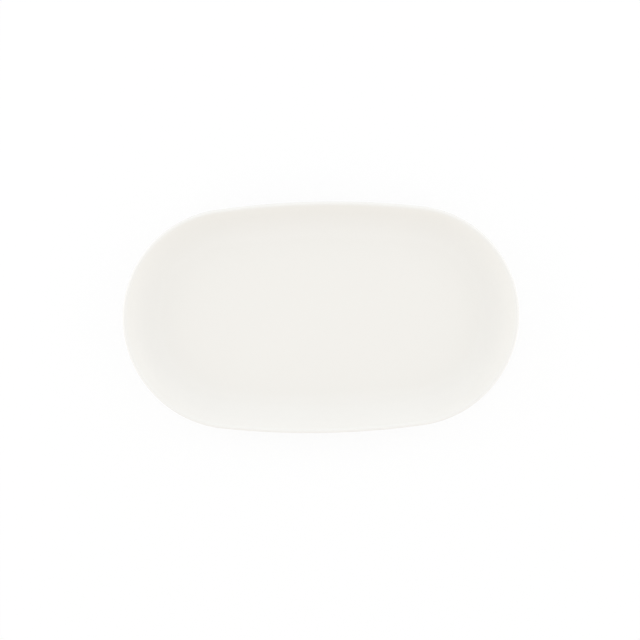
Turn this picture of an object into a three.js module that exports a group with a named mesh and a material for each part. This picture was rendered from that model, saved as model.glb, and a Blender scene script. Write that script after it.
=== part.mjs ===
// Oval serving plate in glazed porcelain: a pressed body with a flat well, a low sloping wall
// and a foot ring, under two skins of glass that stop at the wiped edge of the foot.
// Millimetres, +Z up. The origin is on the table, under the middle of the plate.
import * as THREE from "three";
import { toCreasedNormals } from "three/addons/utils/BufferGeometryUtils.js";

// Plan of the lip, a four-centred oval
const LENGTH = 290;
const WIDTH = 170;
const SIDE_RADIUS = 600; // the slow arc of each long side

// Section through the wall, measured on the glazed plate
const HEIGHT = 20; // table to the crown of the lip
const LIP_RADIUS = 1.6; // fully rounded edge
const INNER_WALL_ANGLE = 44; // degrees up from the well
const OUTER_WALL_ANGLE = 53; // steeper, so the wall thickens towards its root
const LIFT_RADIUS = 90; // inside, where the well first leaves its flat
const LIFT_ANGLE = 6; // degrees that this slow lift bends by before the cove
const COVE_RADIUS = 28; // inside, where the well turns up into the wall
const HEEL_RADIUS = 22; // outside, where the wall turns under
const BASE_THICKNESS = 5; // well to underside, outside the foot ring

// Foot ring
const LEDGE_WIDTH = 5; // flat underside between the heel and the foot ring
const FOOT_HEIGHT = 2.5; // table to the underside, outside the ring
const RECESS_DEPTH = 2.2; // table to the underside, inside the ring
const FOOT_FACE_WIDTH = 3; // flat bearing face
const FOOT_EDGE_RADIUS = 0.8; // wiped edge on either side of the bearing face
const FOOT_FLANK_ANGLE = 70; // degrees up from the table
const FOOT_FILLET_RADIUS = 1.5; // where the flanks run into the underside

const GLAZE_THICKNESS = 0.25;

// Facets along each kind of arc
const END_STEPS = 28;
const SIDE_STEPS = 8;
const LIFT_STEPS = 3;
const COVE_STEPS = 6;
const LIP_STEPS = 6;
const HEEL_STEPS = 5;
const FILLET_STEPS = 2;
const EDGE_STEPS = 2;

const CREASE_ANGLE = 30; // degrees, above which an edge is drawn sharp
const SAME_POINT = 1e-6; // points of a section closer than this are one

const radians = THREE.MathUtils.degToRad;

// Points on a round arc, turning from one angle to the other in degrees.
function arc([x, y], radius, from, to, steps) {
  const clockwise = to < from;
  const curve = new THREE.EllipseCurve(x, y, radius, radius, radians(from), radians(to), clockwise);
  return curve.getPoints(steps);
}

// A point on a round arc, at one angle in degrees.
function onArc([x, y], radius, angle) {
  return new THREE.Vector2(x + radius * Math.cos(radians(angle)), y + radius * Math.sin(radians(angle)));
}

// The plan

const halfLength = LENGTH / 2;
const halfWidth = WIDTH / 2;
const endRadius =
  (2 * SIDE_RADIUS * halfWidth - halfWidth ** 2 - halfLength ** 2) / (2 * (SIDE_RADIUS - halfLength));
const endCentre = halfLength - endRadius; // from the middle, along the length
const sideCentre = SIDE_RADIUS - halfWidth; // past the middle, across the width
const joinAngle = THREE.MathUtils.radToDeg(Math.atan2(sideCentre, endCentre));

// The closed ring that runs round the plate parallel to its lip, at an inset from it.
function ovalRing(inset) {
  const end = endRadius - inset;
  const side = SIDE_RADIUS - inset;
  const arcs = [
    arc([endCentre, 0], end, -joinAngle, joinAngle, END_STEPS),
    arc([0, -sideCentre], side, joinAngle, 180 - joinAngle, SIDE_STEPS),
    arc([-endCentre, 0], end, 180 - joinAngle, 180 + joinAngle, END_STEPS),
    arc([0, sideCentre], side, 180 + joinAngle, 360 - joinAngle, SIDE_STEPS),
  ];
  return arcs.flatMap((points) => points.slice(0, -1));
}

// The section, as points of (inset from the lip, height above the table).
// A skin of glaze lies parallel to the body, so both surfaces share the centres of their arcs.

const wellHeight = FOOT_HEIGHT + BASE_THICKNESS;
const lipCentre = [LIP_RADIUS, HEIGHT - LIP_RADIUS];

// Where an arc tangent to a level surface meets the wall that hangs from the lip at an angle.
function levelArcCentre(level, radius, lipTangent, angle) {
  const rise = radius * (1 - Math.cos(radians(angle)));
  const slope = lipTangent.y - level - rise;
  const inset = lipTangent.x + slope / Math.tan(radians(angle)) + radius * Math.sin(radians(angle));
  return [inset, level + radius];
}

const innerLipTangent = onArc(lipCentre, LIP_RADIUS, 90 - INNER_WALL_ANGLE);
const outerLipTangent = onArc(lipCentre, LIP_RADIUS, 270 - OUTER_WALL_ANGLE);
const heelCentre = levelArcCentre(FOOT_HEIGHT, HEEL_RADIUS, outerLipTangent, OUTER_WALL_ANGLE);

// The inside leaves the flat in a slow arc and goes over into the tighter cove without a break.
// The cove takes no more than the whole climb from there to the lip.
const liftCosine = Math.cos(radians(LIFT_ANGLE));
const climb = innerLipTangent.y - wellHeight - LIFT_RADIUS * (1 - liftCosine);
const coveLimit = climb / (liftCosine - Math.cos(radians(INNER_WALL_ANGLE)));
const coveRadius = Math.min(COVE_RADIUS, coveLimit);
const radiusStep = LIFT_RADIUS - coveRadius;
const coveLevel = wellHeight + radiusStep * (1 - liftCosine);
const coveCentre = levelArcCentre(coveLevel, coveRadius, innerLipTangent, INNER_WALL_ANGLE);
const liftCentre = [coveCentre[0] + radiusStep * Math.sin(radians(LIFT_ANGLE)), wellHeight + LIFT_RADIUS];

// How far the foot's wiped edge lies inside the start of the fillet above it.
function flankRun(level) {
  const lean = radians(90 - FOOT_FLANK_ANGLE);
  const fillet = FOOT_FILLET_RADIUS + GLAZE_THICKNESS;
  const drop = level - FOOT_FILLET_RADIUS + fillet * Math.sin(lean);
  const straight = drop - FOOT_EDGE_RADIUS * (1 - Math.sin(lean));
  return (FOOT_EDGE_RADIUS + fillet) * Math.cos(lean) + straight * Math.tan(lean);
}

const outerFilletCentre = [heelCentre[0] + LEDGE_WIDTH, FOOT_HEIGHT - FOOT_FILLET_RADIUS];
const outerEdgeCentre = [outerFilletCentre[0] + flankRun(FOOT_HEIGHT), FOOT_EDGE_RADIUS];
const innerEdgeCentre = [outerEdgeCentre[0] + FOOT_FACE_WIDTH, FOOT_EDGE_RADIUS];
const innerFilletCentre = [
  innerEdgeCentre[0] + flankRun(RECESS_DEPTH),
  RECESS_DEPTH - FOOT_FILLET_RADIUS,
];

// One line through runs of points, with each point where two runs meet kept once.
function chain(...runs) {
  const points = runs.flat();
  return points.filter((point, k) => k === 0 || point.distanceTo(points[k - 1]) > SAME_POINT);
}

// From the well over the lip to the outer flank of the foot, at a depth under the glazed surface.
function coatSection(depth) {
  const flankEnd = FOOT_EDGE_RADIUS + GLAZE_THICKNESS - depth;
  return chain(
    arc(liftCentre, LIFT_RADIUS + depth, 270, 270 - LIFT_ANGLE, LIFT_STEPS),
    arc(coveCentre, coveRadius + depth, 270 - LIFT_ANGLE, 270 - INNER_WALL_ANGLE, COVE_STEPS),
    arc(lipCentre, LIP_RADIUS - depth, 90 - INNER_WALL_ANGLE, 270 - OUTER_WALL_ANGLE, LIP_STEPS),
    arc(heelCentre, HEEL_RADIUS - depth, 270 - OUTER_WALL_ANGLE, 270, HEEL_STEPS),
    arc(outerFilletCentre, FOOT_FILLET_RADIUS + depth, 90, 90 - FOOT_FLANK_ANGLE, FILLET_STEPS),
    onArc(outerEdgeCentre, flankEnd, 270 - FOOT_FLANK_ANGLE),
  );
}

// From the inner flank of the foot to the recess under the base, at a depth under the glazed surface.
function recessSection(depth) {
  const flankEnd = FOOT_EDGE_RADIUS + GLAZE_THICKNESS - depth;
  return chain(
    onArc(innerEdgeCentre, flankEnd, 270 + FOOT_FLANK_ANGLE),
    arc(innerFilletCentre, FOOT_FILLET_RADIUS + depth, 90 + FOOT_FLANK_ANGLE, 90, FILLET_STEPS),
  );
}

// The wiped foot between those two: a rounded edge, the bearing face and a rounded edge.
function bareFootSection() {
  return chain(
    arc(outerEdgeCentre, FOOT_EDGE_RADIUS, 270 - FOOT_FLANK_ANGLE, 270, EDGE_STEPS),
    arc(innerEdgeCentre, FOOT_EDGE_RADIUS, 270, 270 + FOOT_FLANK_ANGLE, EDGE_STEPS),
  );
}

// A closed solid whose section runs round the oval, as a lathe's runs round a circle.
// The section goes out along the top and back underneath, and a flat cap closes it at each end.
function ovalSolid(section) {
  const rings = section.map((point) => ovalRing(point.x).map((p) => [p.x, p.y, point.y]));
  const around = rings[0].length;
  const topMiddle = rings.length * around;
  const bottomMiddle = topMiddle + 1;
  const vertices = [...rings.flat(), [0, 0, section[0].y], [0, 0, section.at(-1).y]];
  const bottomRing = topMiddle - around;
  const faces = [];
  for (let k = 0; k < around; k++) {
    const next = (k + 1) % around;
    faces.push(topMiddle, k, next);
    for (let ring = 0; ring < bottomRing; ring += around) {
      const beyond = ring + around;
      faces.push(ring + k, beyond + k, beyond + next);
      faces.push(ring + k, beyond + next, ring + next);
    }
    faces.push(bottomMiddle, bottomRing + next, bottomRing + k);
  }
  const geometry = new THREE.BufferGeometry();
  geometry.setAttribute("position", new THREE.Float32BufferAttribute(vertices.flat(), 3));
  geometry.setIndex(faces);
  return toCreasedNormals(geometry, radians(CREASE_ANGLE));
}

// The pieces

function piece(name, section, material) {
  const mesh = new THREE.Mesh(ovalSolid(section), material);
  mesh.name = name;
  return mesh;
}

const fired = new THREE.MeshStandardMaterial({ color: 0xe6e0d5, roughness: 0.75, metalness: 0 });
const faceGlaze = new THREE.MeshStandardMaterial({ color: 0xf2f0eb, roughness: 0.12, metalness: 0 });
const footGlaze = new THREE.MeshStandardMaterial({ color: 0xf2f0eb, roughness: 0.16, metalness: 0 });

// Pressed in one piece and fired: only its foot ring stays bare.
const porcelainBody = piece(
  "porcelain_body",
  chain(coatSection(GLAZE_THICKNESS), bareFootSection(), recessSection(GLAZE_THICKNESS)),
  fired,
);

// Glass skin fused over the well, the wall, the lip and the outside, down to the foot ring.
const glazeCoat = piece(
  "glaze_coat",
  chain(coatSection(0), coatSection(GLAZE_THICKNESS).reverse()),
  faceGlaze,
);

// Glass skin inside the foot ring, cut off from the other by the wiped edge.
const baseGlaze = piece(
  "base_glaze",
  chain(recessSection(GLAZE_THICKNESS).reverse(), recessSection(0)),
  footGlaze,
);

const plate = new THREE.Group();
plate.name = "oval_plate";
plate.add(porcelainBody, glazeCoat, baseGlaze);

export default plate;
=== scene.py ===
import math
import bpy
from mathutils import Matrix, Vector


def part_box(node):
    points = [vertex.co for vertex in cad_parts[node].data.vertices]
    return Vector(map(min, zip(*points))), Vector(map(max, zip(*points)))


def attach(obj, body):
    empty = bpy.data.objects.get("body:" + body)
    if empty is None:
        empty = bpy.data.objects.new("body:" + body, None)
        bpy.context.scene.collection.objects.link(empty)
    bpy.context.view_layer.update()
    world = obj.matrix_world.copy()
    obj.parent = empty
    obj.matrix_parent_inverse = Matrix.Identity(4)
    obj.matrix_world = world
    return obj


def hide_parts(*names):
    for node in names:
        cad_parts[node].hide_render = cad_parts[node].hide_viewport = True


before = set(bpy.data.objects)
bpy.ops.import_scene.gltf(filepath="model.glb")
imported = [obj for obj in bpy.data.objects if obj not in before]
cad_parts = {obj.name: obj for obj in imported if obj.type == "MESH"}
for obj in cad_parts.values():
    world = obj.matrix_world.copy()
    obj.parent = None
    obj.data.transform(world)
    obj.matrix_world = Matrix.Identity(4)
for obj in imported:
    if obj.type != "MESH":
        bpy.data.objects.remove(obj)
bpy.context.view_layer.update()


# Porcelain body
# One piece of hard porcelain, pressed between two moulds, trimmed at the lip and fired. Its foot
# ring is wiped clean before the glaze melts and then ground, so it is the one part that stays bare.

PLATE_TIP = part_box("glaze_coat")[1]
HALF_LENGTH = PLATE_TIP.x
HALF_WIDTH = PLATE_TIP.y
HEIGHT = PLATE_TIP.z
SIDE_RADIUS = 0.6  # the slow arc of each long side

LIP_RADIUS = 0.0016
INNER_WALL_ANGLE = 44  # degrees up from the well
OUTER_WALL_ANGLE = 53  # steeper, so the wall thickens towards its root
LIFT_RADIUS = 0.09  # inside, where the well first leaves its flat
LIFT_ANGLE = 6  # degrees that this slow lift bends by before the cove
COVE_RADIUS = 0.028  # inside, where the well turns up into the wall
HEEL_RADIUS = 0.022  # outside, where the wall turns under
BASE_THICKNESS = 0.005
LEDGE_WIDTH = 0.005  # flat underside between the heel and the foot ring
FOOT_HEIGHT = 0.0025
RECESS_DEPTH = 0.0022
FOOT_FACE_WIDTH = 0.003
FOOT_EDGE_RADIUS = 0.0008
FOOT_FLANK_ANGLE = 70  # degrees up from the table
FOOT_FILLET_RADIUS = 0.0015
GLAZE_THICKNESS = 0.00025

WELL_HEIGHT = FOOT_HEIGHT + BASE_THICKNESS


def rise(radius, low, high):
    """How far an arc climbs as its slope goes from one angle to another."""
    return radius * (math.cos(math.radians(low)) - math.cos(math.radians(high)))


def reach(radius, low, high):
    """How far an arc goes along the level as its slope goes from one angle to another."""
    return radius * (math.sin(math.radians(high)) - math.sin(math.radians(low)))


def slant(height, degrees):
    """The length of a straight run that climbs a height at an angle."""
    return height / math.sin(math.radians(degrees))


# The straight runs of the section, which the arcs at their ends leave over
lift_rise = rise(LIFT_RADIUS, 0, LIFT_ANGLE)
cove_rise = rise(COVE_RADIUS, LIFT_ANGLE, INNER_WALL_ANGLE)
heel_rise = rise(HEEL_RADIUS, 0, OUTER_WALL_ANGLE)
inner_lip_drop = rise(LIP_RADIUS, 0, INNER_WALL_ANGLE)
outer_lip_drop = rise(LIP_RADIUS, 0, 180 - OUTER_WALL_ANGLE)
inner_run = slant(HEIGHT - WELL_HEIGHT - lift_rise - cove_rise - inner_lip_drop, INNER_WALL_ANGLE)
outer_run = slant(HEIGHT - FOOT_HEIGHT - heel_rise - outer_lip_drop, OUTER_WALL_ANGLE)

body_fillet = FOOT_FILLET_RADIUS + GLAZE_THICKNESS
foot_arcs = rise(body_fillet, 0, FOOT_FLANK_ANGLE) + rise(FOOT_EDGE_RADIUS, 0, FOOT_FLANK_ANGLE)
outer_flank = slant(FOOT_HEIGHT + GLAZE_THICKNESS - foot_arcs, FOOT_FLANK_ANGLE)
inner_flank = slant(RECESS_DEPTH + GLAZE_THICKNESS - foot_arcs, FOOT_FLANK_ANGLE)

lip_reach = LIP_RADIUS + reach(LIP_RADIUS, 0, INNER_WALL_ANGLE)
cove_reach = reach(COVE_RADIUS, LIFT_ANGLE, INNER_WALL_ANGLE) + reach(LIFT_RADIUS, 0, LIFT_ANGLE)
wall_inset = lip_reach + inner_run * math.cos(math.radians(INNER_WALL_ANGLE)) + cove_reach
WELL_EDGE = HALF_LENGTH - wall_inset  # where the flat of the well ends, at the plate's tip

# Steps along each arc of the section
LIFT_STEPS = 8
COVE_STEPS = 18
LIP_STEPS = 26
HEEL_STEPS = 16
FOOT_FILLET_STEPS = 6
FOOT_EDGE_STEPS = 6

# From the edge of the well over the lip and under the heel to the foot. A bend is its radius, its
# angle to the left and its steps, and a single number is a straight run.
COAT_PATH = (
    (LIFT_RADIUS, LIFT_ANGLE, LIFT_STEPS),
    (COVE_RADIUS, INNER_WALL_ANGLE - LIFT_ANGLE, COVE_STEPS),
    inner_run,
    (LIP_RADIUS, OUTER_WALL_ANGLE - INNER_WALL_ANGLE - 180, LIP_STEPS),
    outer_run,
    (HEEL_RADIUS, -OUTER_WALL_ANGLE, HEEL_STEPS),
    LEDGE_WIDTH,
    (FOOT_FILLET_RADIUS, FOOT_FLANK_ANGLE, FOOT_FILLET_STEPS),
    outer_flank,
)


class Section:
    """A section at the plate's tip, drawn from one vertex by runs and bends as a template is cut."""

    def __init__(self, name, x, z, heading):
        bpy.ops.object.select_all(action="DESELECT")
        bpy.ops.mesh.primitive_plane_add(size=HALF_WIDTH)
        self.piece = bpy.context.object
        self.piece.name = name
        bpy.ops.object.mode_set(mode="EDIT")
        bpy.ops.mesh.merge(type="CENTER")
        bpy.ops.transform.translate(value=(x, 0, z))
        self.at = Vector((x, 0, z))
        self.heading = heading

    def ahead(self, degrees=0):
        """The direction at an angle to the left of the heading."""
        angle = math.radians(self.heading + degrees)
        return Vector((math.cos(angle), 0, math.sin(angle)))

    def run(self, length):
        step = self.ahead() * length
        bpy.ops.mesh.extrude_region_move(TRANSFORM_OT_translate={"value": step})
        self.at += step

    def bend(self, radius, degrees, steps):
        """An arc to the left, or to the right for an angle below zero."""
        side = math.copysign(90, degrees)
        centre = self.at + self.ahead(side) * radius
        bpy.ops.mesh.spin(steps=steps, angle=math.radians(degrees), center=centre, axis=(0, 1, 0))
        self.heading += degrees
        self.at = centre - self.ahead(side) * radius

    def follow(self, path, depth, backwards=False):
        """Bends and runs along a path of the glazed surface, at a depth under it to the right."""
        for part in reversed(path) if backwards else path:
            if isinstance(part, tuple):
                radius, degrees, steps = part
                radius += math.copysign(depth, degrees)
                self.bend(radius, -degrees if backwards else degrees, steps)
            else:
                self.run(part)


# The plan, a four-centred oval: one arc round the end of each quarter, then one along its side
END_STEPS = 48
SIDE_STEPS = 14
side_gap = 2 * SIDE_RADIUS * HALF_WIDTH - HALF_WIDTH**2 - HALF_LENGTH**2
end_radius = side_gap / (2 * (SIDE_RADIUS - HALF_LENGTH))
end_centre = HALF_LENGTH - end_radius
side_centre = SIDE_RADIUS - HALF_WIDTH
join_angle = math.degrees(math.atan2(side_centre, end_centre))
QUARTER_ARCS = (
    ((end_centre, 0, 0), join_angle, END_STEPS),
    ((0, -side_centre, 0), 90 - join_angle, SIDE_STEPS),
)
CAP_RINGS = (0.001, 0.012, 0.012, 0.012)  # widths of the rings of faces inside the open edges
WELD_DISTANCE = 1e-6
CREASE_ANGLE = 30  # degrees, above which an edge is left sharp


def sweep(section):
    """Carries a section round a quarter of the oval, mirrors it to the whole and caps the open edges."""
    bpy.ops.mesh.select_all(action="SELECT")
    for centre, degrees, steps in QUARTER_ARCS:
        bpy.ops.mesh.spin(steps=steps, angle=-math.radians(degrees), center=centre, axis=(0, 0, 1))
    bpy.ops.object.mode_set(mode="OBJECT")
    mirror = section.piece.modifiers.new("quarters", "MIRROR")
    mirror.use_axis = (True, True, False)
    mirror.merge_threshold = WELD_DISTANCE
    bpy.ops.object.modifier_apply(modifier=mirror.name)
    bpy.ops.object.mode_set(mode="EDIT")
    bpy.ops.mesh.select_all(action="SELECT")
    bpy.ops.mesh.remove_doubles(threshold=WELD_DISTANCE)
    bpy.ops.mesh.fill_holes(sides=0)
    for width in CAP_RINGS:
        bpy.ops.mesh.inset(thickness=width)
    bpy.ops.mesh.poke()
    bpy.ops.mesh.select_all(action="SELECT")
    bpy.ops.mesh.normals_make_consistent(inside=False)
    bpy.ops.object.mode_set(mode="OBJECT")
    bpy.ops.object.shade_smooth_by_angle(angle=math.radians(CREASE_ANGLE))
    return section.piece


body_section = Section("fired_body", WELL_EDGE, WELL_HEIGHT - GLAZE_THICKNESS, heading=0)
body_section.follow(COAT_PATH, GLAZE_THICKNESS)
body_section.bend(FOOT_EDGE_RADIUS, -FOOT_FLANK_ANGLE, FOOT_EDGE_STEPS)
body_section.run(FOOT_FACE_WIDTH)
body_section.bend(FOOT_EDGE_RADIUS, -FOOT_FLANK_ANGLE, FOOT_EDGE_STEPS)
body_section.run(inner_flank)
body_section.bend(body_fillet, FOOT_FLANK_ANGLE, FOOT_FILLET_STEPS)
RECESS_EDGE = body_section.at.x
fired_body = sweep(body_section)


class Finish:
    """One output in a node tree. Arithmetic on it adds Math nodes, and node() adds any other kind."""

    def __init__(self, tree, socket=None):
        self.tree = tree
        self.socket = socket

    def node(self, kind, settings=None, sockets=None, output=0):
        made = self.tree.nodes.new(kind)
        for name, value in (settings or {}).items():
            setattr(made, name, value)
        for key, value in (sockets or {}).items():
            socket = self.pick(made.inputs, key)
            if isinstance(value, Finish):
                self.tree.links.new(value.socket, socket)
            else:
                socket.default_value = value
        return Finish(self.tree, self.pick(made.outputs, output) if made.outputs else None)

    def pick(self, sockets, key):
        """A socket by its number, or by its identifier or name."""
        if isinstance(key, int):
            return sockets[key]
        return next(socket for socket in sockets if key in (socket.identifier, socket.name))

    def math(self, operation, first, second):
        return self.node("ShaderNodeMath", {"operation": operation}, {0: first, 1: second})

    def __add__(self, other):
        return self.math("ADD", self, other)

    def __radd__(self, other):
        return self.math("ADD", other, self)

    def __sub__(self, other):
        return self.math("SUBTRACT", self, other)

    def __rsub__(self, other):
        return self.math("SUBTRACT", other, self)

    def __mul__(self, other):
        return self.math("MULTIPLY", self, other)

    def __rmul__(self, other):
        return self.math("MULTIPLY", other, self)

    def fade(self, start, end):
        """0 at the start and 1 at the end of a range of this value, easing at both."""
        settings = {"interpolation_type": "SMOOTHSTEP"}
        return self.node("ShaderNodeMapRange", settings, {"Value": self, "From Min": start, "From Max": end})

    def tint(self, first, second):
        """The first colour where this value is 0, the second where it is 1."""
        sockets = {"Factor_Float": self, "A_Color": first, "B_Color": second}
        return self.node("ShaderNodeMix", {"data_type": "RGBA"}, sockets, "Result_Color")

    def height(self):
        """How far above the table a place is."""
        return self.node("ShaderNodeSeparateXYZ", None, {"Vector": self}, "Z")

    def clouds(self, size, detail):
        """Soft patches of about a size at these places, from 0 to 1."""
        low, high = 0.3, 0.7  # most of the noise lies between these
        sockets = {"Vector": self, "Scale": 1 / size, "Detail": detail}
        return self.node("ShaderNodeTexNoise", None, sockets).fade(low, high)

    def dots(self, spacing, radius):
        """Scattered round dots at these places, 1 in their middles and 0 at their edges."""
        sockets = {"Vector": self, "Scale": 1 / spacing}
        return self.node("ShaderNodeTexVoronoi", None, sockets, "Distance").fade(radius / spacing, 0)

    def raised(self, distance, under=None):
        """A bump as high as a distance where this value is 1, over another bump if there is one."""
        sockets = {"Height": self, "Distance": distance}
        if under is not None:
            sockets["Normal"] = under
        return self.node("ShaderNodeBump", None, sockets)


def blank_material(name):
    material = bpy.data.materials.new(name)
    material.use_nodes = True
    material.node_tree.nodes.clear()
    return material, Finish(material.node_tree)


def unglazed_porcelain():
    """Fired clay, ground smooth: chalky white with a fine grit, grey rubbed marks and toasted edges."""
    chalk = (0.80, 0.765, 0.69, 1)
    clay = (0.72, 0.67, 0.585, 1)
    rubbed = (0.56, 0.535, 0.49, 1)
    toasted = (0.66, 0.545, 0.40, 1)
    grit_size = 0.0004
    grit_height = 0.00003
    rubbed_height = 0.0001  # above the table
    bare_top = rise(FOOT_EDGE_RADIUS, 0, FOOT_FLANK_ANGLE)

    material, finish = blank_material("unglazed_porcelain")
    place = finish.node("ShaderNodeTexCoord", output="Object")
    grit = place.clouds(grit_size, detail=2)
    patches = place.clouds(size=0.017, detail=3)
    rubs = place.clouds(size=0.005, detail=4) * place.height().fade(rubbed_height, 0)
    edges = place.height().fade(bare_top / 2, bare_top) * place.clouds(size=0.009, detail=2)
    colour = patches.tint(chalk, clay)
    colour = (rubs * 0.3).tint(colour, rubbed)
    colour = (edges * 0.5).tint(colour, toasted)
    shader = finish.node("ShaderNodeBsdfPrincipled", None, {
        "Base Color": colour,
        "Roughness": 0.72 + grit * 0.2 - rubs * 0.15,
        "Normal": grit.raised(grit_height),
    })
    finish.node("ShaderNodeOutputMaterial", None, {"Surface": shader})
    return material


fired_body.data.materials.append(unglazed_porcelain())
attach(fired_body, "root")
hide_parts("porcelain_body")


# Glaze coat
# A skin of clear glass a quarter of a millimetre thick, melted onto the well, the wall, the lip and
# the outside. It settles on the level well and low on the outside, thins on the slopes and the lip,
# and ends in a rounded edge where it was wiped back from the foot.

GLAZE_EDGE_STEPS = 5


def glaze_end(section, turn):
    """The melted edge of a skin: rolls down onto the porcelain and turns back along it."""
    section.bend(GLAZE_THICKNESS, turn, GLAZE_EDGE_STEPS)
    section.heading += turn


coat_section = Section("glazed_face", WELL_EDGE, WELL_HEIGHT, heading=0)
coat_section.follow(COAT_PATH[:-1], 0)
coat_section.run(outer_flank - GLAZE_THICKNESS)
glaze_end(coat_section, -90)
coat_section.follow(COAT_PATH, GLAZE_THICKNESS, backwards=True)
glazed_face = sweep(coat_section)


def glaze(name, slope, level, lip=None):
    """Warm white porcelain seen through clear glass, with the slow ripple of a melted surface."""
    ripple_height = 0.00002
    peel_height = 0.000006
    pinhole_depth = 0.00004

    material, finish = blank_material(name)
    place = finish.node("ShaderNodeTexCoord", output="Object")
    height = place.height()
    patches = place.clouds(size=0.038, detail=3)
    settled = height.fade(WELL_HEIGHT + lift_rise, WELL_HEIGHT) * (0.85 + patches * 0.3)
    colour = (patches * 0.3).tint(slope, level)
    colour = finish.math("MINIMUM", settled, 1).tint(colour, level)
    if lip is not None:
        colour = height.fade(HEIGHT - LIP_RADIUS, HEIGHT).tint(colour, lip)

    ripple = place.clouds(size=0.022, detail=2)
    peel = place.clouds(size=0.0024, detail=2)
    pinholes = place.dots(spacing=0.008, radius=0.00025)
    surface = peel.raised(peel_height, under=ripple.raised(ripple_height))
    shader = finish.node("ShaderNodeBsdfPrincipled", None, {
        "Base Color": colour,
        "Roughness": 0.08 + patches * 0.04 + pinholes * 0.2,
        "IOR": 1.5,
        "Normal": (1 - pinholes).raised(pinhole_depth, under=surface),
    })
    finish.node("ShaderNodeOutputMaterial", None, {"Surface": shader})
    return material


face_glaze = glaze(
    "warm_white_glaze",
    slope=(0.901, 0.886, 0.848, 1),
    level=(0.888, 0.872, 0.832, 1),
    lip=(0.907, 0.896, 0.864, 1),
)
glazed_face.data.materials.append(face_glaze)
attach(glazed_face, "root")
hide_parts("glaze_coat")


# Base glaze
# The same clear glass in the shallow recess inside the foot ring, cut off from the coat outside by
# the wiped foot. It lies face down in the kiln, and comes out a little darker and warmer.

base_section = Section("glazed_recess", RECESS_EDGE, RECESS_DEPTH, heading=0)
base_section.bend(FOOT_FILLET_RADIUS, -FOOT_FLANK_ANGLE, FOOT_FILLET_STEPS)
base_section.run(inner_flank - GLAZE_THICKNESS)
glaze_end(base_section, 90)
base_section.run(inner_flank)
base_section.bend(body_fillet, FOOT_FLANK_ANGLE, FOOT_FILLET_STEPS)
glazed_recess = sweep(base_section)

recess_glaze = glaze(
    "base_glaze",
    slope=(0.889, 0.873, 0.828, 1),
    level=(0.876, 0.857, 0.808, 1),
)
glazed_recess.data.materials.append(recess_glaze)
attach(glazed_recess, "root")
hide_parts("base_glaze")


# Table and surroundings
# A plain white table that keeps the plate's shadow, in a white room. To the camera and in
# reflections both are white, and what they throw back onto the plate is set apart from that.

TABLE_SIZE = 6.0
TABLE_SHADE = 0.14  # how much of the white that the camera sees is light caught by the table
TABLE_BOUNCE = (0.8, 0.8, 0.8, 1)
WHITE = (1, 1, 1, 1)
ROOM_LIGHT = 0.83


def seen_directly(finish):
    """1 for the camera's rays and for those in reflections and glass, 0 for light on its way."""
    camera = finish.node("ShaderNodeLightPath", output="Is Camera Ray")
    glossy = finish.node("ShaderNodeLightPath", output="Is Glossy Ray")
    through = finish.node("ShaderNodeLightPath", output="Is Transmission Ray")
    return finish.math("MINIMUM", camera + glossy + through, 1)


def table_white():
    material, finish = blank_material("table_white")
    catching = finish.node("ShaderNodeBsdfDiffuse", None, {"Color": (TABLE_SHADE,) * 3 + (1,)})
    glowing = finish.node("ShaderNodeEmission", None, {"Color": WHITE, "Strength": 1 - TABLE_SHADE})
    white = finish.node("ShaderNodeAddShader", None, {0: catching, 1: glowing})
    bounce = finish.node("ShaderNodeBsdfDiffuse", None, {"Color": TABLE_BOUNCE})
    shown = finish.node("ShaderNodeMixShader", None, {"Fac": seen_directly(finish), 1: bounce, 2: white})
    finish.node("ShaderNodeOutputMaterial", None, {"Surface": shown})
    return material


bpy.ops.object.select_all(action="DESELECT")
bpy.ops.mesh.primitive_plane_add(size=TABLE_SIZE)
table = bpy.context.object
table.name = "table"
table.data.materials.append(table_white())

room = bpy.data.worlds.new("white_room")
room.use_nodes = True
room.node_tree.nodes.clear()
air = Finish(room.node_tree)
brightness = ROOM_LIGHT + seen_directly(air) * (1 - ROOM_LIGHT)
backdrop = air.node("ShaderNodeBackground", None, {"Color": WHITE, "Strength": brightness})
air.node("ShaderNodeOutputWorld", None, {"Surface": backdrop})
bpy.context.scene.world = room


# Lamps
# Low soft boxes stand off both ends of the plate, a cool pair towards the back and a weaker, warm pair
# towards the front, so that the far wall lies in a warm shade and the near wall in light. Of the lamps,
# only the large box straight behind shows in the gloss of the glaze.

AIM = Vector((0, 0, HEIGHT))
LAMP_DISTANCE = 1.2
LOW_BOX_ELEVATION = 15
LOW_BOX_WIDTH = 0.7
FAR_TURN = 25  # degrees from the plate's length
NEAR_TURN = 35
FAR_WATTS = 2.8
NEAR_WATTS = 1.6
BACK_BOX_ELEVATION = 40
BACK_BOX_WIDTH = 1.4
BACK_BOX_WATTS = 1.0
COOL = (0.95, 1, 1.05)
WARM = (1.12, 1, 0.87)


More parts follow.
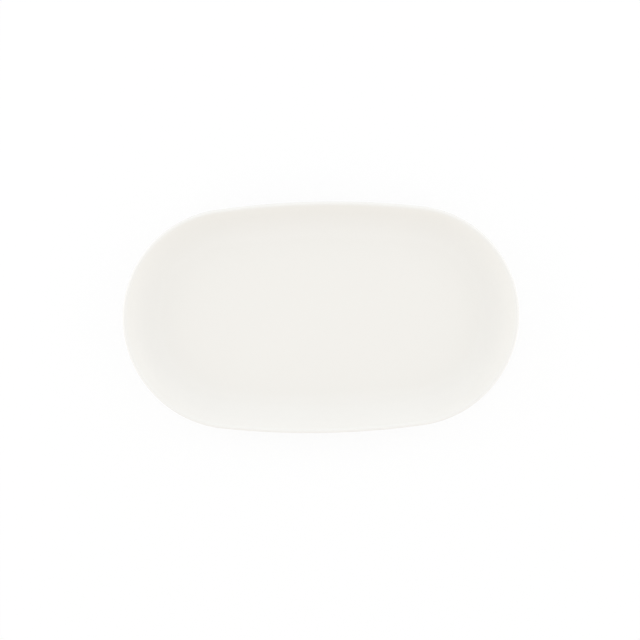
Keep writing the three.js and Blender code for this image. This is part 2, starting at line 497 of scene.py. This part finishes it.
def soft_box(name, azimuth, elevation, width, watts, colour):
    """A square area lamp that faces the plate. Azimuth 0 is off its right end and 90 behind it."""
    turn = math.radians(azimuth)
    climb = math.radians(elevation)
    back = Vector((math.cos(turn) * math.cos(climb), math.sin(turn) * math.cos(climb), math.sin(climb)))
    lamp = bpy.data.lights.new(name, "AREA")
    lamp.size = width
    lamp.energy = watts
    lamp.color = colour
    stand = bpy.data.objects.new(name, lamp)
    bpy.context.scene.collection.objects.link(stand)
    stand.location = AIM + back * LAMP_DISTANCE
    stand.rotation_euler = back.to_track_quat("Z", "Y").to_euler()
    return stand


low_boxes = {
    "far_right_box": (FAR_TURN, FAR_WATTS, COOL),
    "far_left_box": (180 - FAR_TURN, FAR_WATTS, COOL),
    "near_left_box": (180 + NEAR_TURN, NEAR_WATTS, WARM),
    "near_right_box": (360 - NEAR_TURN, NEAR_WATTS, WARM),
}
for name, (azimuth, watts, colour) in low_boxes.items():
    low_box = soft_box(name, azimuth, LOW_BOX_ELEVATION, LOW_BOX_WIDTH, watts, colour)
    low_box.visible_glossy = False
soft_box("back_box", 90, BACK_BOX_ELEVATION, BACK_BOX_WIDTH, BACK_BOX_WATTS, COOL)


# Camera
# The plate seen from almost straight above, by a camera that hangs a little towards its far side. Its
# right end is turned a little towards the top of the picture.

PICTURE_WIDTH = 640
PLATE_CENTRE_PX = (321.0, 319.0)
PLATE_LENGTH_PX = 397.4
PLATE_TURN = 1.0  # degrees
CAMERA_LEAN = -5.4  # degrees from straight above, below zero being towards the far side
LENS_MM = 45
SENSOR_MM = 36

pixel = 2 * HALF_LENGTH / PLATE_LENGTH_PX
camera_distance = pixel * PICTURE_WIDTH * LENS_MM / SENSOR_MM
leaning = Matrix.Rotation(math.radians(CAMERA_LEAN), 3, "X")
facing = leaning @ Matrix.Rotation(math.radians(-PLATE_TURN), 3, "Z")
camera_back = facing @ Vector((0, 0, 1))
centre_px = Vector((PICTURE_WIDTH / 2, PICTURE_WIDTH / 2, 0))
offset_px = Vector((*PLATE_CENTRE_PX, 0)) - centre_px
camera_aim = AIM + facing @ Vector((-offset_px.x, offset_px.y, 0)) * pixel

lens = bpy.data.cameras.new("camera")
lens.lens = LENS_MM
lens.sensor_width = SENSOR_MM
camera = bpy.data.objects.new("camera", lens)
camera.matrix_world = Matrix.Translation(camera_aim + camera_back * camera_distance) @ facing.to_4x4()
bpy.context.scene.collection.objects.link(camera)
bpy.context.scene.camera = camera
bpy.context.scene.view_settings.view_transform = "Standard"
